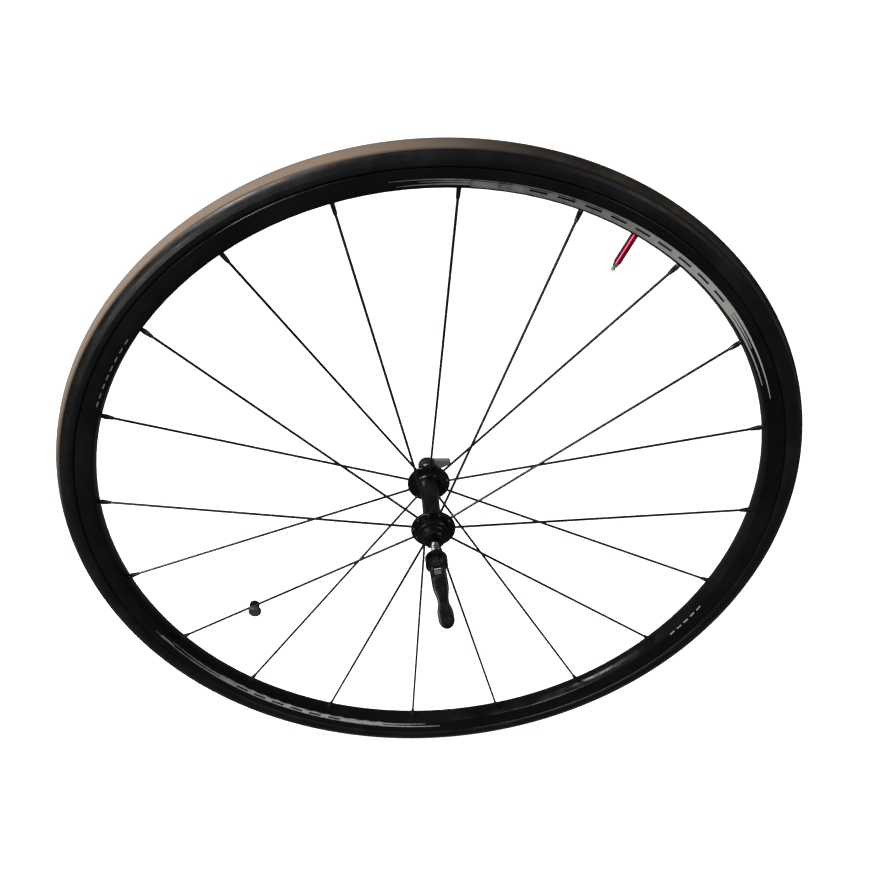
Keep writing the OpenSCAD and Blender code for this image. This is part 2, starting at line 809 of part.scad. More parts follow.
// A short drum along y, with one rounded edge at its far end.
module rounded_drum(r, h, edge) {
    along_y() rotate_extrude()
    polygon(concat(
        [[0, 0], [r, 0]],
        [for (a = [0 : 15 : 90]) [r - edge + edge * cos(a), h - edge + edge * sin(a)]],
        [[0, h]]
    ));
}

// The clip: a round plastic body outside the spoke, with a bridge past the spoke towards the hub.
module magnet_body() {
    front = 4.4;
    color([0.2, 0.21, 0.22])
    magnet_place()
    difference() {
        union() {
            translate([0, magnet_gap, magnet_side]) rounded_drum(magnet_body_r, front, 1.8);
            translate([-3.6, -magnet_gap, spoke_r + 0.1]) cube([4.1, 2 * magnet_gap + 0.5, 4.6]);
        }
        magnet_screw_hole(screw_r + 0.05);
    }
}

// The magnet: a black disc on the other side of the spoke.
module magnet_disc() {
    color([0.03, 0.03, 0.03])
    magnet_place()
    difference() {
        translate([0, -magnet_gap, disc_side]) mirror([0, 1, 0])
            rounded_drum(magnet_body_r - 1.4, disc_t, 0.8);
        magnet_screw_hole(screw_r + 0.05);
    }
}

module magnet_screw_hole(r) {
    translate([screw_at[0], -magnet_gap - disc_t - 1, screw_at[1]]) along_y() cylinder(h = disc_t + 5, r = r);
}

module magnet_screw() {
    head_y = -magnet_gap - disc_t - 1;
    color([0.7, 0.71, 0.73])
    magnet_place()
    difference() {
        union() {
            magnet_screw_hole(screw_r);
            translate([screw_at[0], head_y, screw_at[1]]) along_y() cylinder(h = 1, r = 2);
        }
        translate([screw_at[0] - 2.6, head_y - 0.5, screw_at[1] - 0.3]) cube([5.2, 1, 0.6]);
    }
}

tyre_casing();
tyre_tread();
bead_cores();
inner_tube();
rim_tape();
rim();
spokes_left();
spokes_right();
nipples_left();
nipples_right();
hub_shell();
bearing_outer_left();
bearing_outer_right();
bearing_inner_left();
bearing_inner_right();
bearing_balls_left();
bearing_balls_right();
ball_cage_left();
ball_cage_right();
bearing_seals_left();
bearing_seals_right();
axle();
end_cap_left();
end_cap_right();
lever_spring();
cam_housing();
housing_washer();
lever();
cam_pin();
skewer_rod();
nut_spring();
skewer_nut();
nut_washer();
nut_insert();
valve_stem();
valve_patch();
valve_core();
valve_pin();
valve_nut();
magnet_body();
magnet_disc();
magnet_screw();
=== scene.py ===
import json
import math

import bpy
import numpy as np
from mathutils import Matrix, Vector


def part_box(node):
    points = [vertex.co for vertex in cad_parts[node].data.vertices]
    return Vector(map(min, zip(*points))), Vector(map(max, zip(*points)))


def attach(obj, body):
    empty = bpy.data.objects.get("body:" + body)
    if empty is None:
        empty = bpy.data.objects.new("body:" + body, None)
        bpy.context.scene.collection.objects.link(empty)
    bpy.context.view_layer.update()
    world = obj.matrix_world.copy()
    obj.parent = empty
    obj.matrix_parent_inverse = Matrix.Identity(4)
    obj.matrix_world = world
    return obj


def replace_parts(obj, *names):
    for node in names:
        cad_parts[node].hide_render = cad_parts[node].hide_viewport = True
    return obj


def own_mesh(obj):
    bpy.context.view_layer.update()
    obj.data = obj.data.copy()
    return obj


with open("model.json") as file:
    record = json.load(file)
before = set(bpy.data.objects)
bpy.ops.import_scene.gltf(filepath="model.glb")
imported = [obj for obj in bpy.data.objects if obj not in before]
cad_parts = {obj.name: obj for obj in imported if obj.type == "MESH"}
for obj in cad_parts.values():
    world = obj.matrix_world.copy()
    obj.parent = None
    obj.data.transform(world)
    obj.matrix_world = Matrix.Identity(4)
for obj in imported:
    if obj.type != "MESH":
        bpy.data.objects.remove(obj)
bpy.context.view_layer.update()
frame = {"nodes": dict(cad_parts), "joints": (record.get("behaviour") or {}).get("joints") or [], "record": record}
nodes = frame["nodes"]
joints = {j["name"]: j for j in frame["joints"]}

MM = 0.001
TURN = 2 * math.pi

# ---------- sizes, in millimetres from the wheel's centre ----------

FLOOR_Z = -334.0
SECTION_R = 11.8
CROWN_R = 334.0 - SECTION_R
TREAD_HALF = 7.8
TREAD_DEPTH = 0.9
CASING_WALL = 1.3
WALL_END = math.radians(109)    # where the sidewall meets the bead, from straight outwards
RIB_ANGLES = [math.radians(a) for a in (84, 86, 88)]
RIB_REACH = math.radians(0.9)
RIB_HEIGHT = 0.12
TYRE_SEGMENTS = 480
BEAD_WALL = [               # (radius, distance from the middle), the bead and its foot
    (320.2, 9.7), (318.4, 8.2), (316.6, 6.3), (314.8, 6.1), (312.2, 4.9), (311.1, 5.2),
    (311.1, 6.9), (311.7, 7.6), (313.4, 7.7), (314.6, 7.3), (317.2, 7.6), (317.4, 8.9),
    (318.4, 9.9),
]
# The rim's side as (radius, distance from the middle)
RIM_SIDE = [(301.7, 8.3), (302.6, 8.9), (304.0, 9.3), (307.4, 9.5), (308.0, 9.7), (316.3, 9.7)]
PRINT_LIFT = 0.05               # how far a printed mark stands off the rim
PRINT_SINK = 0.04
# how far the silver patch painted as a glint stands off the rim
GLINT_LIFT = 0.07
BAR_LIFT = 0.09
SPRING_WIRE_R = 0.4
SPRING_NARROW_R = 3.2
NUT_SPRING_CLEAR = 0.7          # keeps the nut's spring off the axle at the tightest pose
LEVER_ANGLE = math.radians(40)
LEVER_LEAN = math.radians(11.3)
LEVER_L = 58.0
LEVER_W = 14.4
ROOT_TO = 20.0                  # the lever's stations, measured from its pivot
WAIST_AT = 34.0
PADDLE_AT = 44.0
PADDLE_END = 8.6
TIP_ROUND = 4.0
WAIST_HALF = 5.0
PADDLE_HALF = 7.1
ROOT_THICK = 4.1
ARM_THINNING = 1.9
ARM_BOW = 2.2
ARM_POWER = 0.62                # how square the arm's section is: 1 would be an ellipse
BARREL_R = 5.2
PIN_R = 3.3
FORK_GAP = 6.2
FORK_DEPTH = 6.65
INLAY_FROM, INLAY_TO = 5.9, 9.6
INLAY_HALF = 2.9
INLAY_LIFT = 0.06
INLAY_DEPTH = 0.5

# ---------- room and camera, in metres ----------

FLOOR_SIZE = 24
BACKDROP_R = 11
AREA_LIGHTS = [                 # name, place, target, size, power, colour
    ("key", (-1.6, -0.9, 1.9), (0, 0, 0), 0.7, 95, (1.0, 0.97, 0.93)),
    ("window", (-1.9, 1.0, 1.2), (0, 0, 0), 0.4, 22, (0.85, 0.92, 1.0)),
    ("fill", (1.8, -1.6, 1.2), (0, 0, 0), 0.8, 8, (1, 1, 1)),
    ("front", (-0.887, -1.096, 0.225), (0.137, 0, 0.239), 0.5, 6, (1, 1, 1)),
]
ROOM_LIGHT = 0.12
CAMERA_AZIMUTH = math.radians(-2.21)
CAMERA_ELEVATION = math.radians(41.62)
CAMERA_DISTANCE = 0.9924
CAMERA_TARGET = (-0.031, 0, -0.0542)
CAMERA_LENS = 43.09
CAMERA_SENSOR = 36
CAMERA_SHIFT = (0.0434, 0.1326)


# ---------- materials ----------

def node_tree(name):
    """A new node material, with its tree, its shader and a shortcut that adds a node."""
    material = bpy.data.materials.new(name)
    material.use_nodes = True
    tree = material.node_tree
    shader = tree.nodes["Principled BSDF"]

    def add(kind, **settings):
        made = tree.nodes.new(kind)
        for key, value in settings.items():
            if key in made.inputs:
                made.inputs[key].default_value = value
            else:
                setattr(made, key, value)
        return made

    return material, tree, shader, add


def noise(tree, add, scale, detail=4.0, rough=0.55, stretch=(1, 1, 1), offset=0.0):
    """A noise value over the object's own space."""
    where = add("ShaderNodeTexCoord")
    mapping = add("ShaderNodeMapping")
    mapping.inputs["Scale"].default_value = stretch
    mapping.inputs["Location"].default_value = (offset, offset * 0.7, offset * 0.3)
    tree.links.new(where.outputs["Object"], mapping.inputs["Vector"])
    made = add("ShaderNodeTexNoise", Scale=scale, Detail=detail, Roughness=rough)
    tree.links.new(mapping.outputs["Vector"], made.inputs["Vector"])
    return made.outputs["Fac"]


def spread(tree, add, value, low, high, out_low=0.0, out_high=1.0):
    """Stretches a value's useful part to another range."""
    made = add("ShaderNodeMapRange", interpolation_type="SMOOTHSTEP")
    made.inputs["From Min"].default_value = low
    made.inputs["From Max"].default_value = high
    made.inputs["To Min"].default_value = out_low
    made.inputs["To Max"].default_value = out_high
    tree.links.new(value, made.inputs["Value"])
    return made.outputs["Result"]


def blend_colours(tree, add, share, first, second):
    """Mixes two colours, or a colour and another mix, by a share."""
    made = add("ShaderNodeMix", data_type="RGBA")
    tree.links.new(share, made.inputs["Factor"])
    for socket, colour in ((made.inputs[6], first), (made.inputs[7], second)):
        if isinstance(colour, bpy.types.NodeSocket):
            tree.links.new(colour, socket)
        else:
            socket.default_value = (*colour, 1)
    return made.outputs[2]


def along(tree, add, direction, low, high):
    """A share that rises from 0 to 1 along a direction of the object's own space."""
    where = add("ShaderNodeTexCoord")
    dot = add("ShaderNodeVectorMath", operation="DOT_PRODUCT")
    tree.links.new(where.outputs["Object"], dot.inputs[0])
    dot.inputs[1].default_value = direction
    return spread(tree, add, dot.outputs["Value"], low, high)


def finish_material(
    name, clean, worn, roughness, metallic=0.0, specular=0.5, coat=0.0,
    patch_scale=60.0, grain_scale=900.0, grain=0.15, grain_depth=0.00004, stretch=(1, 1, 1),
    dust=None, dust_share=0.0, rough_spread=0.12, other=None, other_along=None,
    coat_roughness=0.18,
):
    """A surface with soft patches of wear, an uneven gloss, a fine grain, and perhaps some dust.

    other is a second colour that takes over along a direction, as painted light on the side of a part where light
    falls, and other_along gives that direction and where the change starts and ends."""
    material, tree, shader, add = node_tree(name)
    patches = spread(tree, add, noise(tree, add, patch_scale, 6.0, 0.6, stretch), 0.42, 0.72)
    colour = blend_colours(tree, add, patches, clean, worn)
    if dust is not None:
        film = spread(
            tree, add, noise(tree, add, patch_scale * 0.35, 8.0, 0.7, stretch, 3.1),
            0.5, 0.8, 0.0, dust_share,
        )
        colour = blend_colours(tree, add, film, colour, dust)
    # painted light: a lighter colour on the side of the part where light falls
    if other is not None:
        colour = blend_colours(tree, add, along(tree, add, *other_along), colour, other)
    tree.links.new(colour, shader.inputs["Base Color"])
    gloss = spread(
        tree, add, noise(tree, add, patch_scale * 1.7, 5.0, 0.6, stretch, 7.7),
        0.3, 0.75, max(0.02, roughness - rough_spread), min(1.0, roughness + rough_spread),
    )
    tree.links.new(gloss, shader.inputs["Roughness"])
    bump = add("ShaderNodeBump", Strength=grain, Distance=grain_depth)
    tree.links.new(noise(tree, add, grain_scale, 3.0, 0.6, stretch, 1.3), bump.inputs["Height"])
    tree.links.new(bump.outputs["Normal"], shader.inputs["Normal"])
    shader.inputs["Metallic"].default_value = metallic
    shader.inputs["Specular IOR Level"].default_value = specular
    shader.inputs["Coat Weight"].default_value = coat
    shader.inputs["Coat Roughness"].default_value = coat_roughness
    return material


def make_materials():
    """Every look by name: the record's material slots, and three more for marks and inlay."""
    looks = {
        "tyre_black": dict(
            clean=(0.0035, 0.0037, 0.0042), worn=(0.008, 0.0085, 0.0095), roughness=0.38,
            specular=0.2, patch_scale=25, grain_scale=1400, grain=0.35, grain_depth=0.00008,
            dust=(0.05, 0.045, 0.04), dust_share=0.1,
        ),
        "tread_brown": dict(
            clean=(0.012, 0.0105, 0.0095), worn=(0.03, 0.025, 0.02), roughness=0.75,
            specular=0.15, patch_scale=30, grain_scale=1800, grain=0.6, grain_depth=0.00012,
            dust=(0.16, 0.13, 0.1), dust_share=0.25,
            # painted light: the tread turns light brown on its upper-left side, where the key light falls
            other=(0.15, 0.115, 0.088), other_along=((-0.62, 0.0, 0.78), 0.2, 0.31),
        ),
        "rim_black": dict(
            clean=(0.0025, 0.0025, 0.003), worn=(0.005, 0.005, 0.005), roughness=0.26,
            specular=0.16, patch_scale=18, grain_scale=700, grain=0.05,
            dust=(0.04, 0.038, 0.035), dust_share=0.08,
        ),
        "decal_silver": dict(
            clean=(0.2, 0.2, 0.195), worn=(0.07, 0.07, 0.068), roughness=0.45, metallic=0.4,
            patch_scale=110, grain_scale=900, grain=0.06,
            dust=(0.3, 0.3, 0.29), dust_share=0.5,
            # painted reflection: the silver print turns brighter towards the lower right, where it reflects more
            # light
            other=(0.5, 0.5, 0.49), other_along=((0.819, 0.0, -0.574), -0.1, 0.06),
        ),
        "spoke_black": dict(
            clean=(0.004, 0.004, 0.004), worn=(0.012, 0.012, 0.012), roughness=0.3,
            specular=0.25, patch_scale=120, grain_scale=1500, grain=0.08,
        ),
        "nipple_black": dict(
            clean=(0.006, 0.006, 0.006), worn=(0.02, 0.02, 0.02), roughness=0.28,
            specular=0.35, patch_scale=300, grain_scale=1500, grain=0.08,
        ),
        "hub_black": dict(
            clean=(0.0025, 0.0025, 0.003), worn=(0.007, 0.007, 0.007), roughness=0.22,
            specular=0.25, patch_scale=90, grain_scale=1200, grain=0.06,
            dust=(0.05, 0.047, 0.044), dust_share=0.08,
        ),
        "housing_black": dict(
            clean=(0.003, 0.003, 0.003), worn=(0.01, 0.01, 0.01), roughness=0.28,
            specular=0.25, patch_scale=140, grain_scale=1500, grain=0.1,
            dust=(0.07, 0.066, 0.06), dust_share=0.12,
        ),
        "lever_black": dict(
            clean=(0.0025, 0.0025, 0.0025), worn=(0.008, 0.008, 0.008), roughness=0.24,
            specular=0.3, patch_scale=130, grain_scale=1500, grain=0.08,
            dust=(0.06, 0.056, 0.052), dust_share=0.1,
        ),
        "lever_inlay": dict(
            clean=(0.07, 0.07, 0.068), worn=(0.04, 0.04, 0.038), roughness=0.4, specular=0.3,
            patch_scale=400, grain_scale=2400, grain=0.1,
        ),
        "nut_black": dict(
            clean=(0.006, 0.0055, 0.0055), worn=(0.015, 0.014, 0.013), roughness=0.36,
            specular=0.3, patch_scale=150, grain_scale=1600, grain=0.12,
            dust=(0.12, 0.11, 0.1), dust_share=0.2,
            # painted highlight: the nut turns light grey on its wing, past 5.5 mm right of the axle, where light
            # falls on it
            other=(0.15, 0.137, 0.128), other_along=((1.0, 0.0, 0.0), 0.0055, 0.0085),
        ),
        "stem_red": dict(
            clean=(0.5, 0.012, 0.06), worn=(0.36, 0.008, 0.04), roughness=0.22, metallic=0.95,
            specular=0.4, coat=0.8, coat_roughness=0.14, patch_scale=120, grain_scale=2200,
            grain=0.03, rough_spread=0.04,
        ),
        "magnet_grey": dict(
            clean=(0.035, 0.036, 0.038), worn=(0.02, 0.0205, 0.022), roughness=0.5, specular=0.25,
            patch_scale=150, grain_scale=1600, grain=0.25,
            dust=(0.08, 0.077, 0.073), dust_share=0.2,
        ),
        "magnet_black": dict(
            clean=(0.003, 0.003, 0.003), worn=(0.008, 0.008, 0.008), roughness=0.4,
            specular=0.2, patch_scale=200, grain_scale=1600, grain=0.12,
        ),
        "seal_rubber": dict(
            clean=(0.01, 0.01, 0.01), worn=(0.02, 0.02, 0.02), roughness=0.7, specular=0.2,
            patch_scale=300, grain_scale=2500, grain=0.2,
        ),
        "tube_rubber": dict(
            clean=(0.012, 0.012, 0.012), worn=(0.025, 0.025, 0.025), roughness=0.65, specular=0.2,
            patch_scale=60, grain_scale=1600, grain=0.2,
        ),
        "insert_nylon": dict(
            clean=(0.7, 0.7, 0.64), worn=(0.55, 0.54, 0.48), roughness=0.5,
            patch_scale=300, grain_scale=2400, grain=0.1,
        ),
        "bead_fibre": dict(
            clean=(0.55, 0.42, 0.14), worn=(0.4, 0.3, 0.1), roughness=0.7,
            patch_scale=150, grain_scale=2000, grain=0.4,
        ),
        "rim_tape": dict(
            clean=(0.03, 0.07, 0.25), worn=(0.02, 0.05, 0.18), roughness=0.5,
            patch_scale=80, grain_scale=1600, grain=0.3,
        ),
    }
    metals = {
        "bearing_steel": ((0.55, 0.55, 0.56), (0.4, 0.4, 0.41), 0.25, (1, 1, 1)),
        "ball_steel": ((0.8, 0.8, 0.82), (0.7, 0.7, 0.72), 0.14, (1, 1, 1)),
        "cage_brass": ((0.6, 0.42, 0.17), (0.42, 0.28, 0.1), 0.35, (1, 1, 1)),
        "axle_dark": ((0.012, 0.012, 0.012), (0.03, 0.03, 0.03), 0.34, (1, 6, 1)),
        "spring_steel": ((0.6, 0.6, 0.6), (0.4, 0.39, 0.38), 0.36, (1, 1, 1)),
        "clamp_steel": ((0.3, 0.3, 0.31), (0.2, 0.2, 0.2), 0.38, (1, 1, 1)),
        "rod_steel": ((0.05, 0.05, 0.05), (0.1, 0.098, 0.095), 0.34, (1, 5, 1)),
        "valve_silver": ((0.62, 0.61, 0.59), (0.4, 0.39, 0.37), 0.3, (1, 1, 1)),
        "valve_brass": ((0.12, 0.11, 0.09), (0.07, 0.062, 0.05), 0.35, (1, 1, 1)),
        "screw_steel": ((0.4, 0.4, 0.4), (0.26, 0.25, 0.24), 0.36, (1, 1, 1)),
    }
    for name, (clean, worn, roughness, stretch) in metals.items():
        looks[name] = dict(
            clean=clean, worn=worn, roughness=roughness, metallic=1.0, stretch=stretch,
            patch_scale=240, grain_scale=2200, grain=0.1, rough_spread=0.08,
        )
    return {name: finish_material(name, **look) for name, look in looks.items()}


def paint_nodes(materials):
    """Gives each CAD node the look of its slot in the record."""
    for row in frame["record"]["subparts"]:
        mesh = nodes[row["node"]].data
        mesh.materials.clear()
        mesh.materials.append(materials[row["material_slot"]])


# ---------- making meshes ----------

def add_mesh(name, points, faces, material, sharp=40.0):
    """A mesh object from points in millimetres, smooth but for edges sharper than an angle."""
    mesh = bpy.data.meshes.new(name)
    mesh.from_pydata([(x * MM, y * MM, z * MM) for x, y, z in points], [], faces)
    mesh.update()
    mesh.polygons.foreach_set("use_smooth", [True] * len(mesh.polygons))
    mesh.set_sharp_from_angle(angle=math.radians(sharp))
    mesh.materials.append(material)
    made = bpy.data.objects.new(name, mesh)
    bpy.context.scene.collection.objects.link(made)
    return made


def lathe(name, outline, material):
    """Turns a closed outline of (radius, y) points, counter-clockwise, around the axle."""
    count = len(outline)
    segments = TYRE_SEGMENTS
    points = []
    for i in range(segments):
        a = TURN * i / segments
        points += [(r * math.cos(a), y, r * math.sin(a)) for r, y in outline]
    faces = []
    for i in range(segments):
        here, there = i * count, (i + 1) % segments * count
        for k in range(count):
            n = (k + 1) % count
            faces.append((here + k, here + n, there + n, there + k))
    return add_mesh(name, points, faces, material, 35)


def tube_faces(rings, sides):
    """Faces of a closed tube whose points come ring by ring, with a cap at each end."""
    faces = []
    for i in range(rings - 1):
        for k in range(sides):
            n = (k + 1) % sides
            faces.append((i * sides + k, i * sides + n, (i + 1) * sides + n, (i + 1) * sides + k))
    faces.append(tuple(range(sides))[::-1])
    faces.append(tuple((rings - 1) * sides + k for k in range(sides)))
    return faces


def slab_faces(rows, columns, flip):
    """Faces of a thin slab: two layers of a grid of points, the outer one first, and its edge."""
    across = columns + 1
    layer = (rows + 1) * across
    faces = []
    for i in range(rows):
        for k in range(columns):
            a = i * across + k
            quad = (a, a + 1, a + 1 + across, a + across)
            faces.append(quad)
            faces.append(tuple(v + layer for v in quad[::-1]))
    edge = [i * across for i in range(rows + 1)]
    edge += [rows * across + k for k in range(1, columns + 1)]
    edge += [i * across + columns for i in range(rows - 1, -1, -1)]
    edge += list(range(columns - 1, 0, -1))
    for i, a in enumerate(edge):
        b = edge[(i + 1) % len(edge)]
        faces.append((a, b, b + layer, a + layer))
    return [f[::-1] for f in faces] if flip else faces


def sweep(name, centres, radius, material, sides=14):
    """A round wire through points, closed with a cap at each end."""
    rings = []
    count = len(centres)
    for i, centre in enumerate(centres):
        ahead = Vector(centres[min(i + 1, count - 1)]) - Vector(centres[max(i - 1, 0)])
        ahead.normalize()
        out = Vector((centre[0], 0, centre[2])).normalized()
        side = ahead.cross(out).normalized()
        out = side.cross(ahead)
        for k in range(sides):
            a = TURN * k / sides
            rings.append(Vector(centre) + radius * (math.cos(a) * out + math.sin(a) * side))
    return add_mesh(name, [tuple(p) for p in rings], tube_faces(count, sides), material, 50)


# ---------- tyre ----------

def arc(centre_r, radius, start, end, steps):
    """Points of an arc in the (radius, y) plane, by angle from straight outwards."""
    return [
        (
            centre_r + radius * math.cos(start + (end - start) * i / steps),
            radius * math.sin(start + (end - start) * i / steps),
        )
        for i in range(steps + 1)
    ]


def make_tyre(materials):
    """The casing, with fine ribs moulded into its sidewalls, and the tread strip over its crown."""
    casing_r = SECTION_R - TREAD_DEPTH
    liner_r = casing_r - CASING_WALL

    def outside(sign):
        steps = 70
        wall = []
        for i in range(steps + 1):
            a = WALL_END * i / steps
            lift = sum(RIB_HEIGHT for rib in RIB_ANGLES if abs(a - rib) < RIB_REACH)
            r = casing_r + lift
            wall.append((CROWN_R + r * math.cos(a), sign * r * math.sin(a)))
        return wall

    right = outside(1)
    bead_right = BEAD_WALL[::-1][1:-1]
    liner = arc(CROWN_R, liner_r, WALL_END, -WALL_END, 60)
    bead_left = [(r, -y) for r, y in BEAD_WALL[1:-1]]
    left = outside(-1)[::-1][:-1]
    casing = lathe(
        "tyre_casing_skin", right + bead_right + liner + bead_left + left,
        materials["tyre_black"],
    )
    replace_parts(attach(casing, "wheel"), "tyre_casing")

    half = math.asin(TREAD_HALF / SECTION_R)
    inner_half = math.asin(TREAD_HALF / casing_r)
    crown = arc(CROWN_R, SECTION_R, -half, half, 40)
    under = arc(CROWN_R, casing_r, inner_half, -inner_half, 30)
    tread = lathe("tread_skin", crown + under, materials["tread_brown"])
    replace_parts(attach(tread, "wheel"), "tyre_tread")


# ---------- marks on the rim ----------

def side_y(r):
    """How far the rim's side stands from its middle, at a radius."""
    return float(np.interp(r, [p[0] for p in RIM_SIDE], [p[1] for p in RIM_SIDE]))


def mark(name, side, start, end, inner, outer, material, lift=PRINT_LIFT):
    """A thin printed patch on the rim's side, from one angle in degrees to another.

    inner and outer are its edges' radii, each at its start and at its end."""
    count = max(2, int(2 * (end - start)) + 1)
    rows = 5
    points = []
    for layer in (lift, -PRINT_SINK):
        for i in range(count + 1):
            u = i / count
            a = math.radians(start + (end - start) * u)
            low = inner[0] + (inner[1] - inner[0]) * u
            high = outer[0] + (outer[1] - outer[0]) * u
            for k in range(rows + 1):
                r = low + (high - low) * k / rows
                points.append((r * math.cos(a), side * (side_y(r) + layer), r * math.sin(a)))
    made = add_mesh(name, points, slab_faces(count, rows, side > 0), material, 30)
    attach(made, "wheel")


SILVER_MARKS = [            # name, first and last angle, inner edge, outer edge, lift
    ("band_top", 40, 86, (302.7, 302.9), (309.4, 308.8), PRINT_LIFT),
    ("top_line_1", 22, 40, (307.0, 307.4), (307.5, 309.4), PRINT_LIFT),
    ("top_line_2", 32.5, 40, (305.4, 305.2), (305.7, 307.0), PRINT_LIFT),
    ("top_line_3", 25, 40, (303.2, 302.9), (303.6, 304.8), PRINT_LIFT),
    ("top_line_4", 86, 97, (307.9, 308.9), (308.8, 309.1), PRINT_LIFT),
    ("top_line_5", 86, 93, (306.2, 306.8), (307.4, 307.1), PRINT_LIFT),
    ("top_line_6", 86, 96, (304.4, 304.6), (305.8, 304.9), PRINT_LIFT),
    ("band_low", 225, 261, (302.5, 302.4), (308.2, 308.4), PRINT_LIFT),
    ("low_line_1", 261, 273, (306.6, 307.6), (308.4, 308.0), PRINT_LIFT),
    ("low_line_2", 261, 270, (303.4, 303.6), (305.2, 304.0), PRINT_LIFT),
    ("low_line_3", 208, 225, (307.8, 306.4), (308.1, 308.2), PRINT_LIFT),
    # a silver patch painted as a glint where light catches the end of the low speed line
    ("low_painted_glint", 209.5, 213, (306.4, 305.8), (308.8, 307.4), GLINT_LIFT),
    ("low_line_4", 212, 225, (303.8, 303.6), (304.1, 305.4), PRINT_LIFT),
]
# Rows of equal marks: name, count, first angle, step, length, inner and outer radius, look, lift
MARK_ROWS = [
    ("bar_top", 9, 42.5, 4.1, 2.6, 305.6, 307.9, "rim_black", BAR_LIFT),
    ("bar_low", 6, 229, 4.1, 2.6, 304.8, 307.0, "rim_black", BAR_LIFT),
    ("dash_high", 8, 143, 1.8, 1.0, 305.0, 305.9, "decal_silver", PRINT_LIFT),
    ("dash_low", 5, 325.5, 1.9, 1.2, 302.4, 303.6, "decal_silver", PRINT_LIFT),
]


def make_marks(materials):
    """Silver bands with speed lines at their ends, a silver patch painted as a glint at one line's end, dark bars
    on them, and rows of small dashes.
    """
    for side, word in ((-1, "left"), (1, "right")):
        for name, start, end, inner, outer, lift in SILVER_MARKS:
            mark(f"{word}_{name}", side, start, end, inner, outer, materials["decal_silver"], lift)
        for name, count, first, step, length, low, high, look, lift in MARK_ROWS:
            for i in range(count):
                a = first + step * i
                edges = (low, low), (high, high)
                mark(f"{word}_{name}_{i}", side, a, a + length, *edges, materials[look], lift)


# ---------- springs ----------

def coil_points(y0, y1, r0, r1, turns, flat_turns=0.6, steps=60):
    """The centre line of a conical coil round the axle, its end turns lying flat."""
    total = int(turns * steps)
    points = []
    for i in range(total + 1):
        t = i / steps
        climb = min(max(t - flat_turns, 0), turns - 2 * flat_turns) / (turns - 2 * flat_turns)
        r = r0 + (r1 - r0) * i / total
        a = TURN * t
        points.append((r * math.cos(a), y0 + (y1 - y0) * climb, r * math.sin(a)))
    return points


def make_springs(materials):
    """Both conical springs, in the space their CAD nodes hold."""
    steel = materials["spring_steel"]
    wire = SPRING_WIRE_R
    for node, body, narrow_y, wide_y, turns, clear in (
        ("lever_spring", "axle", "high", "low", 6.5, 0.0),
        ("nut_spring", "nut_spring", "low", "high", 3.5, NUT_SPRING_CLEAR),
    ):
        low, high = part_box(node)
        ends = {"low": low[1] / MM + wire + clear, "high": high[1] / MM - wire}
        wide_r = (high[2] - low[2]) / 2 / MM - wire - 0.1
        points = coil_points(ends[narrow_y], ends[wide_y], SPRING_NARROW_R, wide_r, turns)
        spring = sweep(node + "_wire", points, wire, steel)
        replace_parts(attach(spring, body), node)
        if node == "lever_spring":
            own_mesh(spring)


# ---------- lever ----------

def lever_place():
    """From the closed lever's own directions to the wheel's."""
    pivot = Vector(joints["lever_throw"]["pos_m"])
    lean = Matrix.Rotation(-LEVER_LEAN, 4, "Y")
    opened = Matrix.Rotation(-LEVER_ANGLE, 4, "X")
    return Matrix.Translation(pivot) @ lean @ opened


def ease(start, end, share):
    """A value that leaves start and reaches end without a corner."""
    return (start + end) / 2 + (start - end) / 2 * math.cos(share * math.pi)


def lever_half_width(s):
    """Half the lever's width at a distance from its pivot: root, waist and paddle."""
    if s < ROOT_TO:
        return LEVER_W / 2
    if s < WAIST_AT:
        return ease(LEVER_W / 2, WAIST_HALF, (s - ROOT_TO) / (WAIST_AT - ROOT_TO))
    if s < PADDLE_AT:
        return ease(WAIST_HALF, PADDLE_HALF, (s - WAIST_AT) / (PADDLE_AT - WAIST_AT))
    past = max(0.0, s - (LEVER_L - PADDLE_END)) / PADDLE_END
    return PADDLE_HALF * math.sqrt(max(0.0, 1 - past ** 2))


def lever_middle(s):
    """How far the arm bows outwards."""
    return ARM_BOW * math.sin(math.pi * s / LEVER_L)


def lever_half_thick(s):
    """Half the lever's thickness, which thins along the arm and rounds off at the tip."""
    past = max(0.0, s - (LEVER_L - TIP_ROUND)) / TIP_ROUND
    thick = ROOT_THICK - ARM_THINNING * min(1, s / WAIST_AT)
    return thick * math.sqrt(max(0.0, 1 - past ** 2))


def signed_power(value, power):
    return math.copysign(abs(value) ** power, value)


def lever_arm(material):
    """The arm: crowned across, from the pivot to the rounded tip."""
    sides = 48
    stations = [0.6 * i for i in range(int(LEVER_L / 0.6))] + [LEVER_L - 0.25, LEVER_L - 0.04]
    points = []
    for s in stations:
        for k in range(sides):
            t = TURN * k / sides
            x = lever_half_width(s) * signed_power(math.cos(t), ARM_POWER)
            out = lever_middle(s) + lever_half_thick(s) * signed_power(math.sin(t), ARM_POWER)
            points.append((x, -out, -s))
    return add_mesh("lever_skin", points, tube_faces(len(stations), sides), material, 45)


def rod_along_x(name, radius, length, material, edge=0.0, sides=96):
    """A round bar across the lever, its ends bevelled by edge."""
    half = length / 2
    stations = [(-half, radius), (half, radius)]
    if edge > 0:
        stations = [
            (-half, radius - edge), (-half + edge, radius),
            (half - edge, radius), (half, radius - edge),
        ]
    points = [
        (x, r * math.cos(TURN * k / sides), r * math.sin(TURN * k / sides))
        for x, r in stations for k in range(sides)
    ]
    return add_mesh(name, points, tube_faces(len(stations), sides), material, 30)


def combine(piece, tool, operation):
    """Joins a tool to a piece or cuts it away, and removes the tool."""
    change = piece.modifiers.new("combine", "BOOLEAN")
    change.operation = operation
    change.solver = "EXACT"
    change.object = tool
    bpy.context.view_layer.update()
    result = piece.evaluated_get(bpy.context.evaluated_depsgraph_get())
    mesh = bpy.data.meshes.new_from_object(result)
    piece.modifiers.clear()
    piece.data = mesh
    bpy.data.objects.remove(tool)


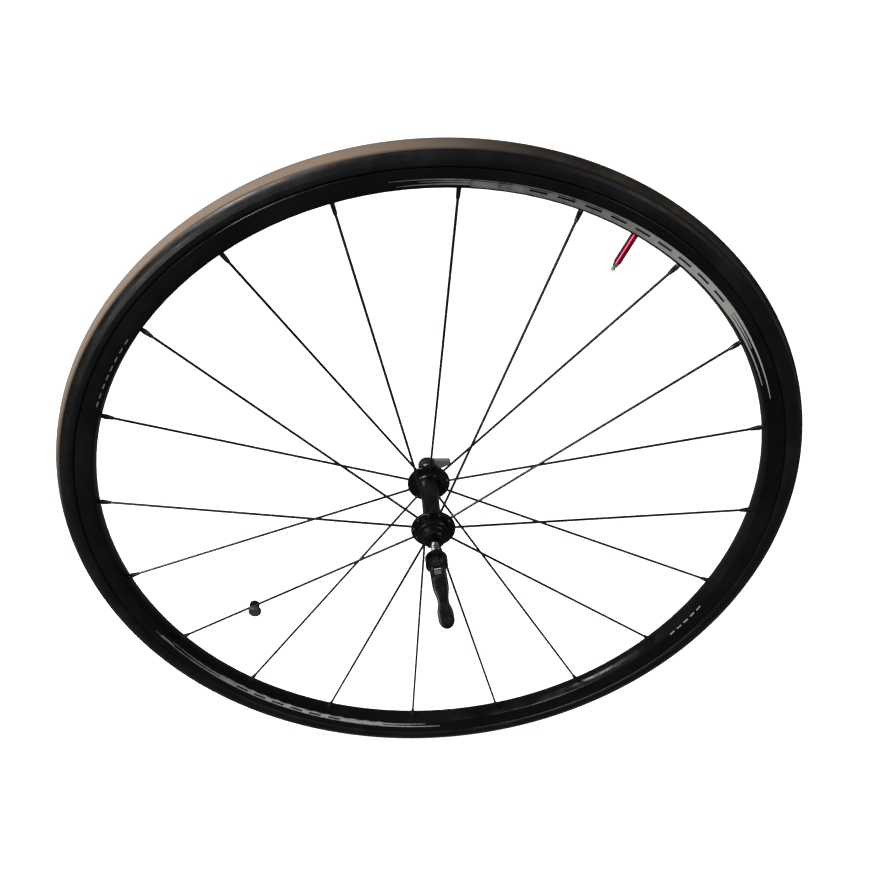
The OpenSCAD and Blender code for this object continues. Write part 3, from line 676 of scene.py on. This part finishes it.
def lever_inlay(material):
    """A thin satin plate let into the lever's outer face, near its root."""
    count = 6
    points = []
    for lift in (INLAY_LIFT, -INLAY_DEPTH):
        for i in range(count + 1):
            s = INLAY_FROM + (INLAY_TO - INLAY_FROM) * i / count
            for k in range(count + 1):
                x = INLAY_HALF * (2 * k / count - 1)
                edge = (abs(x) / lever_half_width(s)) ** (2 / ARM_POWER)
                out = lever_middle(s) + lever_half_thick(s) * (1 - edge) ** (ARM_POWER / 2)
                points.append((x, -out - lift, -s))
    return add_mesh("lever_inlay", points, slab_faces(count, count, True), material, 30)


def make_lever(materials):
    """The lever: a crowned arm that grows out of a round head, forked for the rod's eye."""
    black = materials["lever_black"]
    lever = lever_arm(black)
    combine(lever, rod_along_x("head", BARREL_R, LEVER_W, black, 0.4), "UNION")
    combine(lever, rod_along_x("gap", FORK_DEPTH, FORK_GAP, black), "DIFFERENCE")
    combine(lever, rod_along_x("bore", PIN_R, LEVER_W + 4, black), "DIFFERENCE")
    place = lever_place()
    for vertex in lever.data.vertices:
        vertex.co = place @ vertex.co
    lever.data.polygons.foreach_set("use_smooth", [True] * len(lever.data.polygons))
    lever.data.set_sharp_from_angle(angle=math.radians(35))
    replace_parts(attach(lever, "lever"), "lever")
    inlay = lever_inlay(materials["lever_inlay"])
    for vertex in inlay.data.vertices:
        vertex.co = place @ vertex.co
    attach(inlay, "lever")


# ---------- room, light and camera ----------

def make_floor():
    """A pale floor and a pale round backdrop, which the camera sees and diffuse and glossy rays don't; the
    backdrop casts no shadow either.
    """
    material, tree, shader, add = node_tree("floor")
    shade = spread(tree, add, noise(tree, add, 2.0, 3.0), 0.3, 0.7)
    tree.links.new(
        blend_colours(tree, add, shade, (0.86, 0.86, 0.86), (0.83, 0.83, 0.835)),
        shader.inputs["Base Color"],
    )
    shader.inputs["Roughness"].default_value = 0.9
    shader.inputs["Specular IOR Level"].default_value = 0.1
    shader.inputs["Emission Color"].default_value = (1, 1, 1, 1)
    shader.inputs["Emission Strength"].default_value = 1.0
    bpy.ops.mesh.primitive_plane_add(size=FLOOR_SIZE, location=(0, 0, FLOOR_Z * MM))
    floor = bpy.context.object
    floor.name = "floor"
    floor.data.materials.append(material)
    bpy.ops.mesh.primitive_uv_sphere_add(segments=96, ring_count=48, radius=BACKDROP_R)
    backdrop = bpy.context.object
    backdrop.name = "backdrop"
    backdrop.data.materials.append(material)
    for obj in (floor, backdrop):
        obj.visible_glossy = False
        obj.visible_diffuse = False
    backdrop.visible_shadow = False
    backdrop.visible_transmission = False


def add_area(name, place, target, size, power, colour):
    light = bpy.data.lights.new(name, "AREA")
    light.size = size
    light.energy = power
    light.color = colour
    made = bpy.data.objects.new(name, light)
    made.location = place
    aim = Vector(target) - Vector(place)
    made.rotation_euler = aim.to_track_quat("-Z", "Y").to_euler()
    bpy.context.scene.collection.objects.link(made)


def make_lights():
    world = bpy.data.worlds.new("studio")
    bpy.context.scene.world = world
    world.use_nodes = True
    back = world.node_tree.nodes["Background"]
    back.inputs["Color"].default_value = (1.0, 1.0, 1.0, 1)
    back.inputs["Strength"].default_value = ROOM_LIGHT
    for light in AREA_LIGHTS:
        add_area(*light)


def make_camera():
    """The photograph's view: an azimuth, an elevation and a distance from a point of the object."""
    offset = Vector((
        math.cos(CAMERA_ELEVATION) * math.sin(CAMERA_AZIMUTH),
        -math.cos(CAMERA_ELEVATION) * math.cos(CAMERA_AZIMUTH),
        math.sin(CAMERA_ELEVATION),
    ))
    camera = bpy.data.cameras.new("camera")
    camera.sensor_width = CAMERA_SENSOR
    camera.lens = CAMERA_LENS
    camera.shift_x, camera.shift_y = CAMERA_SHIFT
    camera.clip_start = 0.01
    camera.clip_end = 100
    made = bpy.data.objects.new("camera", camera)
    made.location = Vector(CAMERA_TARGET) + CAMERA_DISTANCE * offset
    made.rotation_euler = (math.pi / 2 - CAMERA_ELEVATION, 0, CAMERA_AZIMUTH)
    bpy.context.scene.collection.objects.link(made)
    bpy.context.scene.camera = made


materials = make_materials()
paint_nodes(materials)
make_tyre(materials)
make_marks(materials)
make_springs(materials)
make_lever(materials)
make_floor()
make_lights()
make_camera()
bpy.context.scene.view_settings.view_transform = "Standard"
